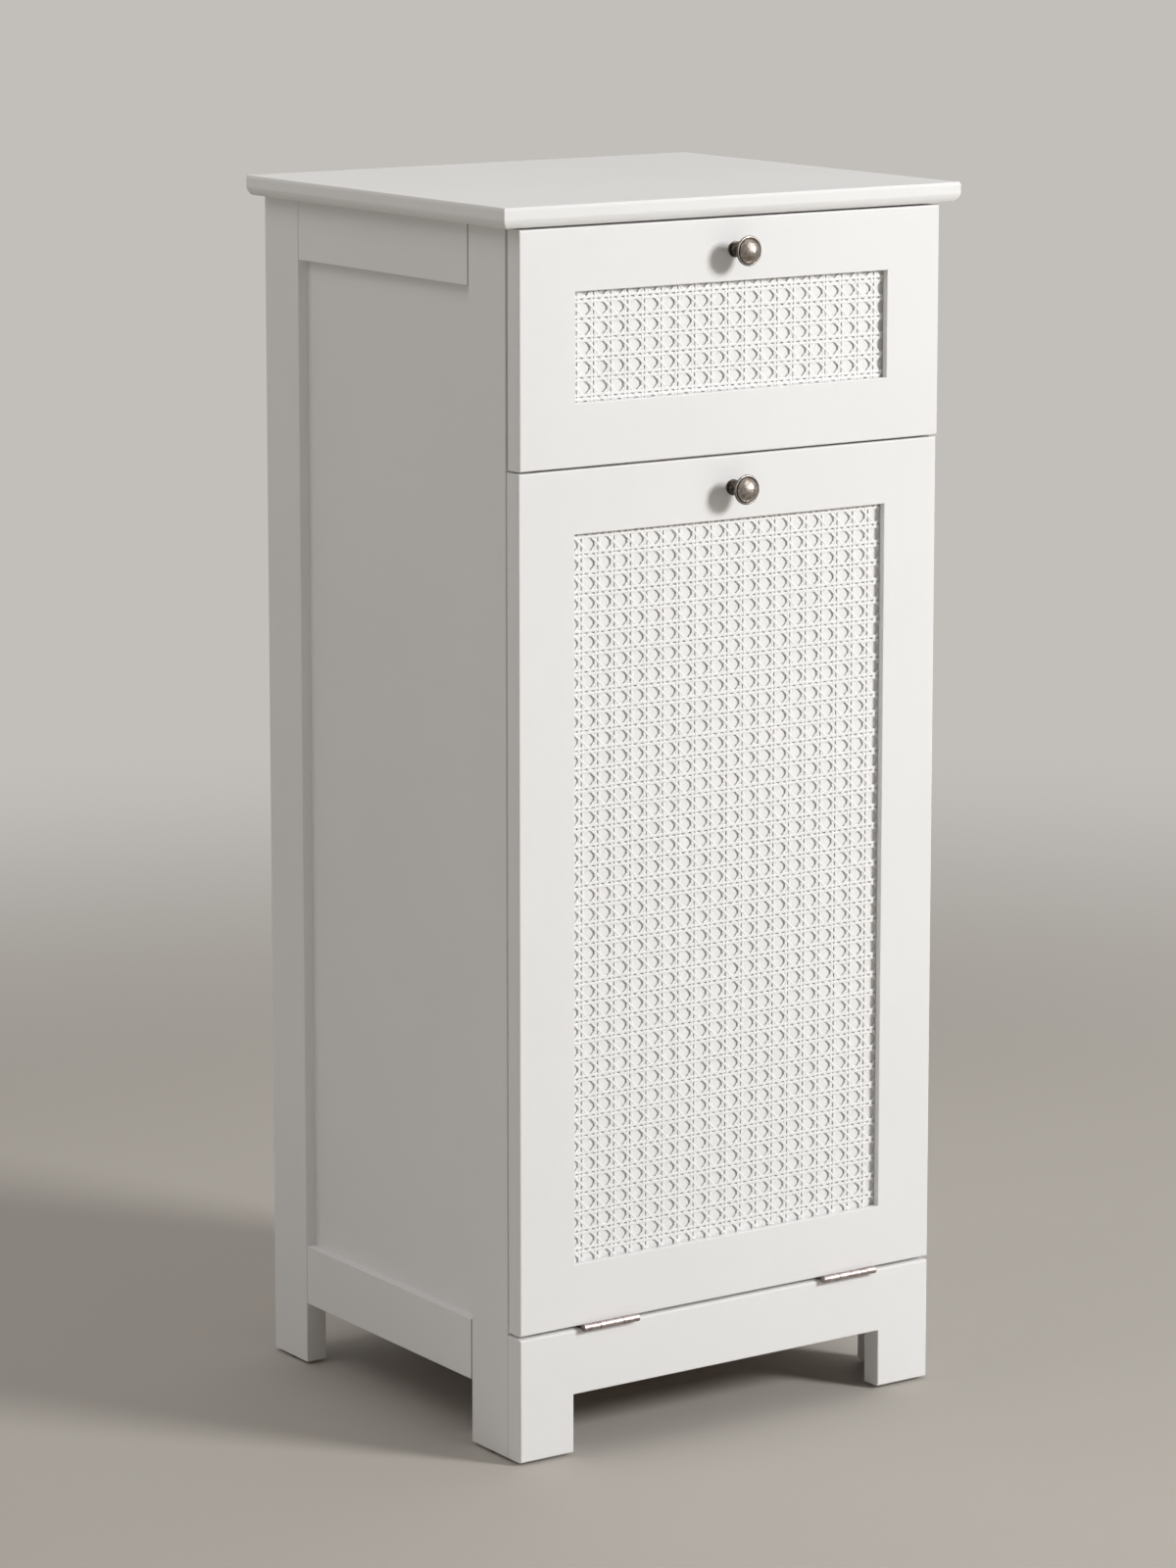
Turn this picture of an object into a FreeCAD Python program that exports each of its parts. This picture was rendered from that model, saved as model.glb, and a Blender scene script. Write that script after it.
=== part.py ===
import FreeCAD, Part
import math
import os

Vector = FreeCAD.Vector

# Overall cabinet: front faces -Y, X runs left to right, Z is up, floor at zero
front_width = 400.0
carcass_depth = 352.0
glide_height = 2.5
plinth_height = 99.3
hinge_gap = 2.8
door_height = 676.2
door_drawer_gap = 1.7
drawer_front_height = 183.5
top_gap = 1.7
door_stand_off = 2.0
drawer_stand_off = 3.5
cut_overrun = 5.0
same_place = 0.1

# Carcass boards
frame_thickness = 18.0
leg_width = 51.0
side_rail_height = 49.2
side_arch_height = 49.9
rail_setback = 0.6
leg_ease = 0.7
panel_thickness = 5.0
panel_recess = 9.0
groove_depth = 8.0
groove_play = 0.5
back_thickness = 3.0
back_rebate = 8.0
floor_thickness = 12.0
floor_drop = 10.0
floor_groove_depth = 6.0
glide_radius = 7.5
glide_ease = 0.8

# Plinth across the front legs
plinth_thickness = 18.0
plinth_foot_width = 50.2
arch_height = 47.0
plinth_top_ease = 2.2
front_ease = 1.2

# Top board with its moulded edge
top_thickness = 16.0
top_side_overhang = 17.0
top_front_overhang = 7.2
top_arris_inset = 1.0
top_nose_drop = 4.5
top_foot_inset = 5.0
arc_middle_share = 1 - math.sqrt(0.5)

# Door and drawer fronts with their cane openings
front_thickness = 16.0
stile_width = 51.4
door_top_rail_width = 50.2
door_bottom_rail_width = 50.0
drawer_rail_width = 49.2
cane_recess = 5.0
cane_thickness = 2.0
cane_rebate = 8.0
opening_ease = 0.8

# Turned knobs: radius and distance from the front at each step
knob_projection = 25.4
knob_foot_radius = 6.2
knob_foot_height = 1.8
knob_collar_radius = 5.5
knob_collar_height = 3.6
knob_neck_radius = 4.4
knob_neck_height = 8.2
knob_throat_radius = 6.0
knob_throat_height = 14.6
knob_rim_radius = 11.8
knob_rim_back = 17.5
knob_rim_front = 19.5
knob_groove_radius = 9.9
knob_groove_floor = 18.7
knob_dome_radius = 9.3
knob_screw_radius = 2.0
knob_screw_depth = 9.0
knob_screw_head_radius = 4.0
knob_screw_head_height = 2.4

# Butt hinges in the gap under the door
hinge_side_distance = 83.0
hinge_length = 52.0
hinge_barrel_radius = 3.0
hinge_middle_knuckle = 21.5
hinge_knuckle_gap = 0.6
hinge_face_clearance = 0.4
hinge_pin_radius = 1.25
hinge_running_clearance = 0.05
hinge_leaf_thickness = 1.2
hinge_leaf_depth = 13.5
hinge_screw_spacing = 17.0

# Wood screws: the small ones hold the leaves, the others hold boards and slides
leaf_screw_length = 13.0
leaf_screw_radius = 1.2
leaf_screw_head_radius = 2.4
leaf_screw_head_depth = 1.2
board_screw_length = 16.0
board_screw_radius = 1.75
board_screw_head_radius = 3.4
board_screw_head_depth = 2.0
screw_grip = 8.0
counterbore_radius = 5.0
screw_cross_width_share = 0.3
screw_cross_length_share = 1.2
screw_cross_depth_share = 0.6
screw_point_share = 0.2
screw_point_radius_share = 0.3
top_screw_side_distance = 72.0

# Roller slides of the drawer
slide_width = 12.5
slide_steel = 1.2
slide_lift = 1.5
slide_flange = 10.0
slide_roller_gap = 0.3
roller_radius = 9.0
roller_width = 7.0
roller_ease = 0.8
roller_side_gap = 0.5
roller_stud_radius = 2.5
roller_running_clearance = 0.05
roller_head_radius = 4.5
roller_head_thickness = 0.8
front_roller_setback = 12.0
front_roller_window = 32.0
front_roller_raise = 2.5
rear_roller_inset = 8.0
slide_setback = 2.0
slide_stop_gap = 0.5
slide_screw_inset = 11.6
slide_screw_margin = 8.0
drawer_rail_raise = 3.0
drawer_flange_gap = 1.5
drawer_travel = 250.0

# Drawer box
drawer_box_depth = 325.0
drawer_box_height = 118.0
drawer_board = 12.0
drawer_bottom_thickness = 4.0
drawer_bottom_raise = 9.0
drawer_groove = 6.0
drawer_screw_side_distance = 42.5
drawer_screw_edge = 18.0
drawer_ease = 1.0

# Frame on the door's back that carries the bag
bag_bar_back_clearance = 31.2
stop_gap = 0.3
stop_catch = 7.5
bag_frame_thickness = 18.0
bag_frame_clearance = 4.0
bag_arm_height = 28.0
bag_bar_rise = 12.0
bag_frame_screw_inset = 9.0
batten_screw_inset = 7.5
bag_frame_ease = 1.5

# Fabric bag
bag_clearance = 0.3
bag_wall = 2.0
bag_rim_drop = 4.0
bag_taper = 12.0
bag_floor_clearance = 30.0

# Magnetic catch, its strike and the bumpers
catch_side_distance = 112.0
catch_width = 44.0
catch_height = 13.0
catch_depth = 14.0
catch_ease = 1.0
catch_gap = 0.3
strike_width = 46.0
strike_height = 14.0
strike_thickness = 1.2
bumper_radius = 4.0
bumper_drop = 22.0


# Places worked out from the sizes
half_width = front_width / 2
inner_x = half_width - frame_thickness
cabinet_x = (-half_width, half_width)
inside_x = (-inner_x, inner_x)

leg_bottom_z = glide_height
plinth_top_z = leg_bottom_z + plinth_height
door_bottom_z = plinth_top_z + hinge_gap
door_top_z = door_bottom_z + door_height
drawer_bottom_z = door_top_z + door_drawer_gap
drawer_top_z = drawer_bottom_z + drawer_front_height
top_under_z = drawer_top_z + top_gap
top_z = top_under_z + top_thickness

back_y = (carcass_depth + drawer_stand_off + front_thickness + knob_projection) / 2
carcass_front_y = back_y - carcass_depth
plinth_face_y = carcass_front_y - plinth_thickness
door_back_y = carcass_front_y - door_stand_off
door_face_y = door_back_y - front_thickness
drawer_back_y = carcass_front_y - drawer_stand_off
drawer_face_y = drawer_back_y - front_thickness
back_panel_y = back_y - back_thickness

up = Vector(0, 0, 1)
down = Vector(0, 0, -1)
to_front = Vector(0, -1, 0)
to_back = Vector(0, 1, 0)
to_left = Vector(-1, 0, 0)

pieces = {}


def keep(node, shape):
    pieces[node] = shape


def mirrored(shape):
    return shape.mirror(Vector(0, 0, 0), Vector(1, 0, 0))


def keep_pair(name, left_shape):
    keep("left_" + name, left_shape)
    keep("right_" + name, mirrored(left_shape))


def block(x_span, y_span, z_span):
    corner = Vector(x_span[0], y_span[0], z_span[0])
    far_corner = Vector(x_span[1], y_span[1], z_span[1])
    size = far_corner - corner
    return Part.makeBox(size.x, size.y, size.z, corner)


def rod(radius, start, end):
    return Part.makeCylinder(radius, (end - start).Length, start, end - start)


def grown(span, amount):
    return (span[0] - amount, span[1] + amount)


def around(centre, size):
    return (centre - size / 2, centre + size / 2)


def joined(shapes):
    return shapes[0].multiFuse(shapes[1:]).removeSplitter()


def eased(shape, radius, chosen):
    return shape.makeFillet(radius, [edge for edge in shape.Edges if chosen(edge)])


def lies_at(value, level):
    return abs(value - level) < same_place


def spun(points):
    """A turned solid from its (radius, distance along the axis) points."""
    outline = [Vector(radius, 0, distance) for radius, distance in points]
    face = Part.Face(Part.makePolygon(outline + outline[:1]))
    return face.revolve(Vector(0, 0, 0), up, 360)


def placed(shape, origin, direction):
    turn = FreeCAD.Rotation(up, direction)
    moved = shape.copy()
    moved.Placement = FreeCAD.Placement(origin, turn)
    return moved


class WoodScrew:
    """A countersunk cross-head screw, pointing along +Z from the top of its head."""

    def __init__(self, length, radius, head_radius, head_depth):
        point_length = length * screw_point_share
        point_radius = radius * screw_point_radius_share
        shank_end = length - point_length
        outline = [
            (0, 0),
            (head_radius, 0),
            (radius, head_depth),
            (radius, shank_end),
            (point_radius, length),
            (0, length),
        ]
        self.bore = spun(outline)
        long_span = around(0, head_radius * screw_cross_length_share)
        short_span = around(0, head_radius * screw_cross_width_share)
        deep_span = (0, head_depth * screw_cross_depth_share)
        cross = [block(long_span, short_span, deep_span), block(short_span, long_span, deep_span)]
        self.solid = self.bore.cut(cross)

    def at(self, places, direction):
        return [placed(self.solid, place, direction) for place in places]

    def bores(self, places, direction):
        return [placed(self.bore, place, direction) for place in places]


leaf_screw = WoodScrew(leaf_screw_length, leaf_screw_radius, leaf_screw_head_radius, leaf_screw_head_depth)
board_screw = WoodScrew(
    board_screw_length,
    board_screw_radius,
    board_screw_head_radius,
    board_screw_head_depth,
)

# Framed sides: legs, rails and a panel in their grooves
leg_x = (-half_width, -inner_x)
leg_z = (leg_bottom_z, top_under_z)
front_leg_y = (carcass_front_y, carcass_front_y + leg_width)
rear_leg_y = (back_y - leg_width, back_y)
rail_x = (-half_width + rail_setback, -inner_x)
rail_y = (front_leg_y[1], rear_leg_y[0])
side_top_z = (top_under_z - side_rail_height, top_under_z)
side_bottom_z = (leg_bottom_z + side_arch_height, leg_bottom_z + side_arch_height + side_rail_height)
side_clear_z = (side_bottom_z[1], side_top_z[0])
panel_x = (-half_width + panel_recess, -half_width + panel_recess + panel_thickness)
panel_slot = block(panel_x, grown(rail_y, groove_depth), grown(side_clear_z, groove_depth))
panel_fit = groove_depth - groove_play

floor_z = (plinth_top_z - floor_drop - floor_thickness, plinth_top_z - floor_drop)
floor_groove = block(grown(inside_x, floor_groove_depth), rail_y, floor_z)


def outer_upright(edge):
    return lies_at(edge.CenterOfMass.x, leg_x[0]) and edge.Length > leg_width


def outer_rail_edge(edge):
    return lies_at(edge.CenterOfMass.x, rail_x[0])


left_front_leg = eased(block(leg_x, front_leg_y, leg_z), leg_ease, outer_upright)
left_rear_leg = eased(block(leg_x, rear_leg_y, leg_z), leg_ease, outer_upright)
back_slot = block(grown(inside_x, back_rebate), (back_panel_y, back_y + cut_overrun), leg_z)
left_side_top_rail = eased(block(rail_x, rail_y, side_top_z), rail_setback, outer_rail_edge)
left_side_bottom_rail = eased(block(rail_x, rail_y, side_bottom_z), rail_setback, outer_rail_edge)
keep_pair("side_top_rail", left_side_top_rail.cut(panel_slot))
keep_pair("side_bottom_rail", left_side_bottom_rail.cut([panel_slot, floor_groove]))
keep_pair("side_panel", block(panel_x, grown(rail_y, panel_fit), grown(side_clear_z, panel_fit)))

# Rails that join the two sides, with pockets for the screws into the top board
divider_z = around(door_top_z + door_drawer_gap / 2, frame_thickness)
stretcher_z = (top_under_z - frame_thickness, top_under_z)
rear_stretcher_y = (rear_leg_y[0], back_panel_y)
rear_rail_y = (back_panel_y - frame_thickness, back_panel_y)
keep("divider_rail", block(inside_x, front_leg_y, divider_z))
keep("rear_bottom_rail", block(inside_x, rear_rail_y, side_bottom_z))

top_screw_offset = inner_x - top_screw_side_distance
top_screw_places = []
for stretcher_y in (front_leg_y, rear_stretcher_y):
    for screw_x in (-top_screw_offset, top_screw_offset):
        top_screw_places.append(Vector(screw_x, sum(stretcher_y) / 2, top_under_z - screw_grip))
top_screw_pockets = []
for place in top_screw_places:
    pocket_mouth = Vector(place.x, place.y, stretcher_z[0] - cut_overrun)
    top_screw_pockets.append(rod(counterbore_radius, pocket_mouth, place))
top_screw_bores = board_screw.bores(top_screw_places, up)
for name, stretcher_y in (("front_top_rail", front_leg_y), ("rear_top_rail", rear_stretcher_y)):
    keep(name, block(inside_x, stretcher_y, stretcher_z).cut(top_screw_pockets + top_screw_bores))

# Back and floor
back_fit = back_rebate - groove_play
keep("back_panel", block(grown(inside_x, back_fit), (back_panel_y, back_y), (side_bottom_z[0], top_under_z)))
floor_middle = block(inside_x, (carcass_front_y, rear_rail_y[0]), floor_z)
floor_tongues = block(grown(inside_x, floor_groove_depth - groove_play), rail_y, floor_z)
keep("floor_panel", joined([floor_middle, floor_tongues]))

# Feet
leg_centre_x = half_width - frame_thickness / 2
glides = []
for glide_x in (-leg_centre_x, leg_centre_x):
    for glide_y in (sum(front_leg_y) / 2, sum(rear_leg_y) / 2):
        glide = rod(glide_radius, Vector(glide_x, glide_y, 0), Vector(glide_x, glide_y, glide_height))
        glides.append(eased(glide, glide_ease, lambda edge: lies_at(edge.CenterOfMass.z, 0)))
keep("foot_glides", Part.makeCompound(glides))

# Top board: one prism with the front moulding, cut to the shape of one with the side mouldings
top_x = grown(cabinet_x, top_side_overhang)
top_front_y = door_face_y - top_front_overhang
top_nose_z = top_z - top_nose_drop


def moulding(place):
    """The board's edge from its top arris round the nose to the underside."""
    arris = place(top_arris_inset, top_z)
    upper_middle = place(top_arris_inset * arc_middle_share, top_z - top_nose_drop * arc_middle_share)
    nose = place(0, top_nose_z)
    lower_rise = top_nose_z - top_under_z
    lower_middle = place(top_foot_inset * arc_middle_share, top_under_z + lower_rise * arc_middle_share)
    foot = place(top_foot_inset, top_under_z)
    curves = [Part.Arc(arris, upper_middle, nose).toShape(), Part.Arc(nose, lower_middle, foot).toShape()]
    return arris, curves, foot


def outline_face(edges):
    return Part.Face(Part.Wire(Part.__sortEdges__(edges)))


front_arris, front_curves, front_foot = moulding(lambda inset, z: Vector(top_x[0], top_front_y + inset, z))
back_top = Vector(top_x[0], back_y, top_z)
back_foot = Vector(top_x[0], back_y, top_under_z)
front_edges = front_curves + [
    Part.makeLine(front_foot, back_foot),
    Part.makeLine(back_foot, back_top),
    Part.makeLine(back_top, front_arris),
]
front_prism = outline_face(front_edges).extrude(Vector(top_x[1] - top_x[0], 0, 0))
left_arris, left_curves, left_foot = moulding(lambda inset, z: Vector(top_x[0] + inset, top_front_y, z))
right_arris, right_curves, right_foot = moulding(lambda inset, z: Vector(top_x[1] - inset, top_front_y, z))
side_edges = left_curves + right_curves + [
    Part.makeLine(left_arris, right_arris),
    Part.makeLine(left_foot, right_foot),
]
side_prism = outline_face(side_edges).extrude(Vector(0, back_y - top_front_y, 0))
keep("top_board", front_prism.common(side_prism).cut(top_screw_bores))

# Hinges: a leaf on the plinth's top edge, a leaf under the door and a pin through their knuckles
barrel_y = min(door_face_y, plinth_face_y) - hinge_barrel_radius - hinge_face_clearance
barrel_z = (plinth_top_z + door_bottom_z) / 2
base_leaf_y = (barrel_y, plinth_face_y + hinge_leaf_depth)
door_leaf_y = (barrel_y, door_face_y + hinge_leaf_depth)
base_leaf_z = (plinth_top_z, plinth_top_z + hinge_leaf_thickness)
door_leaf_z = (door_bottom_z - hinge_leaf_thickness, door_bottom_z)
hinge_screw_xs = [hinge_screw_spacing * step for step in (-1, 0, 1)]
base_screw_y = plinth_face_y + hinge_leaf_depth / 2
door_screw_y = door_face_y + hinge_leaf_depth / 2


def barrel(radius, x_span):
    return rod(radius, Vector(x_span[0], barrel_y, barrel_z), Vector(x_span[1], barrel_y, barrel_z))


hinge_pins = []
base_screw_places = []
door_screw_places = []
hinge_offset = half_width - hinge_side_distance
for side, hinge_x in (("left", -hinge_offset), ("right", hinge_offset)):
    whole = around(hinge_x, hinge_length)
    middle = around(hinge_x, hinge_middle_knuckle)
    outer = [(whole[0], middle[0] - hinge_knuckle_gap), (middle[1] + hinge_knuckle_gap, whole[1])]
    clear_radius = hinge_barrel_radius + hinge_face_clearance
    base_places = [Vector(hinge_x + step, base_screw_y, base_leaf_z[1]) for step in hinge_screw_xs]
    door_places = [Vector(hinge_x + step, door_screw_y, door_leaf_z[0]) for step in hinge_screw_xs]
    base_plate = block(whole, base_leaf_y, base_leaf_z)
    door_plate = block(whole, door_leaf_y, door_leaf_z)
    base_plate = base_plate.cut(barrel(clear_radius, grown(middle, hinge_knuckle_gap)))
    door_plate = door_plate.cut([barrel(clear_radius, grown(span, hinge_knuckle_gap)) for span in outer])
    base_leaf = joined([base_plate] + [barrel(hinge_barrel_radius, span) for span in outer])
    door_leaf = joined([door_plate, barrel(hinge_barrel_radius, middle)])
    base_bore = barrel(hinge_pin_radius, grown(whole, cut_overrun))
    door_bore = barrel(hinge_pin_radius + hinge_running_clearance, grown(whole, cut_overrun))
    keep(side + "_hinge_base_leaf", base_leaf.cut([base_bore] + leaf_screw.bores(base_places, down)))
    keep(side + "_hinge_door_leaf", door_leaf.cut([door_bore] + leaf_screw.bores(door_places, up)))
    hinge_pins.append(barrel(hinge_pin_radius, whole))
    base_screw_places += base_places
    door_screw_places += door_places
keep("hinge_pins", Part.makeCompound(hinge_pins))
keep("base_leaf_screws", Part.makeCompound(leaf_screw.at(base_screw_places, down)))
keep("door_leaf_screws", Part.makeCompound(leaf_screw.at(door_screw_places, up)))

# Plinth: one board with an arch, bored for the hinge screws
plinth = block(cabinet_x, (plinth_face_y, carcass_front_y), (leg_bottom_z, plinth_top_z))
arch_x = grown(cabinet_x, -plinth_foot_width)
arch_y = grown((plinth_face_y, carcass_front_y), cut_overrun)
plinth = plinth.cut(block(arch_x, arch_y, (leg_bottom_z - cut_overrun, leg_bottom_z + arch_height)))


def plinth_top_edge(edge):
    return lies_at(edge.CenterOfMass.y, plinth_face_y) and lies_at(edge.CenterOfMass.z, plinth_top_z)


def plinth_other_edge(edge):
    """An edge of the front face, but not the line where the round-over at its top ends."""
    centre = edge.CenterOfMass
    return lies_at(centre.y, plinth_face_y) and not lies_at(centre.z, plinth_top_z - plinth_top_ease)


plinth = eased(plinth, plinth_top_ease, plinth_top_edge)
plinth = eased(plinth, front_ease, plinth_other_edge)
keep("front_plinth", plinth.cut(leaf_screw.bores(base_screw_places, down)))


# Knobs, turned from the front they stand on, and the screws that hold them
def knob_point(radius, height):
    return Vector(radius, 0, height)


def turned_knob(foot):
    """A knob along +Z: foot, collar, waisted neck, rim, groove and dome."""
    collar_top = knob_point(knob_collar_radius, knob_collar_height)
    waist = knob_point(knob_neck_radius, knob_neck_height)
    throat = knob_point(knob_throat_radius, knob_throat_height)
    rim_round = (knob_rim_front - knob_rim_back) / 2
    rim_back = knob_point(knob_rim_radius - rim_round, knob_rim_back)
    rim_edge = knob_point(knob_rim_radius, knob_rim_back + rim_round)
    rim_front = knob_point(knob_rim_radius - rim_round, knob_rim_front)
    dome_rise = knob_projection - knob_rim_front
    dome_ball = (knob_dome_radius ** 2 + dome_rise ** 2) / (2 * dome_rise)
    dome_half_angle = math.asin(knob_dome_radius / dome_ball) / 2
    dome_edge = knob_point(knob_dome_radius, knob_rim_front)
    dome_drop = dome_ball * (1 - math.cos(dome_half_angle))
    dome_middle = knob_point(dome_ball * math.sin(dome_half_angle), knob_projection - dome_drop)
    tip = knob_point(0, knob_projection)
    lower = [
        knob_point(0, 0),
        knob_point(knob_foot_radius, 0),
        knob_point(knob_foot_radius, knob_foot_height),
        knob_point(knob_collar_radius, knob_foot_height),
        collar_top,
    ]
    upper = [
        rim_front,
        knob_point(knob_groove_radius, knob_groove_floor),
        knob_point(knob_dome_radius, knob_groove_floor),
        dome_edge,
    ]
    edges = Part.makePolygon(lower).Edges + Part.makePolygon(upper).Edges
    edges.append(Part.Arc(collar_top, waist, throat).toShape())
    edges.append(Part.makeLine(throat, rim_back))
    edges.append(Part.Arc(rim_back, rim_edge, rim_front).toShape())
    edges.append(Part.Arc(dome_edge, dome_middle, tip).toShape())
    edges.append(Part.makeLine(tip, knob_point(0, 0)))
    solid = outline_face(edges).revolve(Vector(0, 0, 0), up, 360)
    screw_hole = rod(knob_screw_radius, knob_point(0, -cut_overrun), knob_point(0, knob_screw_depth))
    return placed(solid.cut(screw_hole), foot, to_front)


def knob_screw(foot):
    """A pan-head machine screw from the back of the front into the knob."""
    back = foot + to_back * front_thickness
    shank = rod(knob_screw_radius, back, foot + to_front * knob_screw_depth)
    head = rod(knob_screw_head_radius, back, back + to_back * knob_screw_head_height)
    return joined([shank, head])


# Drawer and door fronts: a board with a stepped opening for cane and its backing
def routed_front(face_y, z_span, opening_z, knob_foot):
    back_of_front = face_y + front_thickness
    opening_x = grown(cabinet_x, -stile_width)
    board = block(cabinet_x, (face_y, back_of_front), z_span)
    board = eased(board, front_ease, lambda edge: lies_at(edge.CenterOfMass.y, face_y))
    board = board.cut(block(opening_x, grown((face_y, back_of_front), cut_overrun), opening_z))

    def opening_edge(edge):
        centre = edge.CenterOfMass
        inside = abs(centre.x) < half_width - stile_width / 2
        level = opening_z[0] - opening_ease < centre.z < opening_z[1] + opening_ease
        return lies_at(centre.y, face_y) and inside and level

    board = eased(board, opening_ease, opening_edge)
    rebate_y = (face_y + cane_recess, back_of_front + cut_overrun)
    board = board.cut(block(grown(opening_x, cane_rebate), rebate_y, grown(opening_z, cane_rebate)))
    return board.cut(rod(knob_screw_radius, knob_foot, knob_foot + to_back * front_thickness))


def cane_sheet(face_y, opening_z):
    sheet_x = grown(grown(cabinet_x, -stile_width), cane_rebate)
    sheet_y = (face_y + cane_recess, face_y + cane_recess + cane_thickness)
    return block(sheet_x, sheet_y, grown(opening_z, cane_rebate))


def cane_backing(face_y, opening_z):
    board_x = grown(grown(cabinet_x, -stile_width), cane_rebate)
    board_y = (face_y + cane_recess + cane_thickness, face_y + front_thickness)
    return block(board_x, board_y, grown(opening_z, cane_rebate))


drawer_opening_z = (drawer_bottom_z + drawer_rail_width, drawer_top_z - drawer_rail_width)
door_opening_z = (door_bottom_z + door_bottom_rail_width, door_top_z - door_top_rail_width)
drawer_knob_foot = Vector(0, drawer_face_y, drawer_top_z - drawer_rail_width / 2)
door_knob_foot = Vector(0, door_face_y, door_top_z - door_top_rail_width / 2)
keep("drawer_knob", turned_knob(drawer_knob_foot))
keep("drawer_knob_screw", knob_screw(drawer_knob_foot))
keep("door_knob", turned_knob(door_knob_foot))
keep("door_knob_screw", knob_screw(door_knob_foot))

# Roller slides: a channel on each side of the carcass, a rail under each side of the drawer
box_half = inner_x - slide_width
slide_bottom_z = divider_z[1] + slide_lift
channel_z = (slide_bottom_z, slide_bottom_z + 2 * (roller_radius + slide_roller_gap + slide_steel))
slide_front_y = carcass_front_y + slide_setback
front_roller_y = slide_front_y + front_roller_setback
front_roller_z = sum(channel_z) / 2 + front_roller_raise
rear_roller_y = drawer_back_y + drawer_box_depth - rear_roller_inset
rear_roller_z = sum(channel_z) / 2
slide_stop_y = rear_roller_y + roller_radius + slide_stop_gap
rear_slide_screw_y = rear_leg_y[0] + slide_screw_inset
slide_back_y = max(slide_stop_y + slide_steel, rear_slide_screw_y + slide_screw_margin)
channel_web_x = (-inner_x, -inner_x + slide_steel)
channel_flange_x = (-inner_x, -inner_x + slide_flange)
drawer_web_x = (-box_half - slide_steel, -box_half)
rail_top_under_z = front_roller_z + roller_radius + slide_roller_gap
drawer_rail_z = (slide_bottom_z + drawer_rail_raise, rail_top_under_z + slide_steel)
drawer_flange_x = (channel_web_x[1] + drawer_flange_gap, -box_half)
drawer_rail_y = (drawer_back_y, drawer_back_y + drawer_box_depth)


def roller_set(wall_x, inward, y, z):
    """A roller on its riveted stud, from the wall that carries the stud."""
    start = wall_x + inward * roller_side_gap
    end = start + inward * roller_width
    head_start = end + inward * roller_side_gap / 2
    head_end = head_start + inward * roller_head_thickness
    wheel = rod(roller_radius, Vector(start, y, z), Vector(end, y, z))
    wheel = wheel.makeFillet(roller_ease, wheel.Edges[:1] + wheel.Edges[2:])
    bore_radius = roller_stud_radius + roller_running_clearance
    wheel = wheel.cut(rod(bore_radius, Vector(wall_x, y, z), Vector(head_end, y, z)))
    stud = rod(roller_stud_radius, Vector(wall_x, y, z), Vector(head_end, y, z))
    head = rod(roller_head_radius, Vector(head_start, y, z), Vector(head_end, y, z))
    return wheel, joined([stud, head])


slide_y = (slide_front_y, slide_back_y)
channel_top_y = (slide_front_y + front_roller_window, slide_back_y)
front_roller, front_stud = roller_set(channel_web_x[1], 1, front_roller_y, front_roller_z)
rear_roller, rear_stud = roller_set(drawer_web_x[0], -1, rear_roller_y, rear_roller_z)
cabinet_rail = joined([
    block(channel_web_x, slide_y, channel_z),
    block(channel_flange_x, slide_y, (channel_z[0], channel_z[0] + slide_steel)),
    block(channel_flange_x, channel_top_y, (channel_z[1] - slide_steel, channel_z[1])),
    block(channel_flange_x, (slide_stop_y, slide_stop_y + slide_steel), channel_z),
    front_stud,
])
drawer_rail = joined([
    block(drawer_web_x, drawer_rail_y, drawer_rail_z),
    block(
        (drawer_web_x[0], -box_half + drawer_board),
        drawer_rail_y,
        (drawer_rail_z[0], drawer_rail_z[0] + slide_steel),
    ),
    block(drawer_flange_x, drawer_rail_y, (rail_top_under_z, drawer_rail_z[1])),
    rear_stud,
])
slide_screw_places = [
    Vector(channel_web_x[1], channel_top_y[0], rear_roller_z),
    Vector(channel_web_x[1], rear_slide_screw_y, rear_roller_z),
]
slide_screw_bores = board_screw.bores(slide_screw_places, to_left)
keep_pair("cabinet_rail", cabinet_rail.cut(slide_screw_bores))
keep_pair("front_roller", front_roller)
keep_pair("drawer_rail", drawer_rail)
keep_pair("rear_roller", rear_roller)
keep_pair("front_leg", left_front_leg.cut([panel_slot] + slide_screw_bores))
keep_pair("rear_leg", left_rear_leg.cut([panel_slot, back_slot] + slide_screw_bores))
left_slide_screws = board_screw.at(slide_screw_places, to_left)
right_slide_screws = [mirrored(screw) for screw in left_slide_screws]
top_screws = board_screw.at(top_screw_places, up)
keep("carcass_screws", Part.makeCompound(top_screws + left_slide_screws + right_slide_screws))

# Drawer box: sides, front and back of one board, with the bottom in a groove
box_y = (drawer_back_y, drawer_back_y + drawer_box_depth)
box_z = (drawer_rail_z[0] + slide_steel, drawer_rail_z[0] + slide_steel + drawer_box_height)
box_inside_x = grown((-box_half, box_half), -drawer_board)
box_inside_y = grown(box_y, -drawer_board)
bottom_z = (box_z[0] + drawer_bottom_raise, box_z[0] + drawer_bottom_raise + drawer_bottom_thickness)
bottom_slot = block(grown(box_inside_x, drawer_groove), grown(box_inside_y, drawer_groove), bottom_z)
bottom_fit = drawer_groove - groove_play
drawer_screw_offset = box_inside_x[1] - drawer_screw_side_distance
drawer_screw_places = []
for screw_z in (box_z[0] + drawer_screw_edge, box_z[1] - drawer_screw_edge):
    for screw_x in (-drawer_screw_offset, drawer_screw_offset):
        drawer_screw_places.append(Vector(screw_x, box_inside_y[0], screw_z))
drawer_screw_bores = board_screw.bores(drawer_screw_places, to_front)


def box_top_edge(edge):
    return lies_at(edge.CenterOfMass.z, box_z[1]) and edge.Length > drawer_board + cut_overrun


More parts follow.
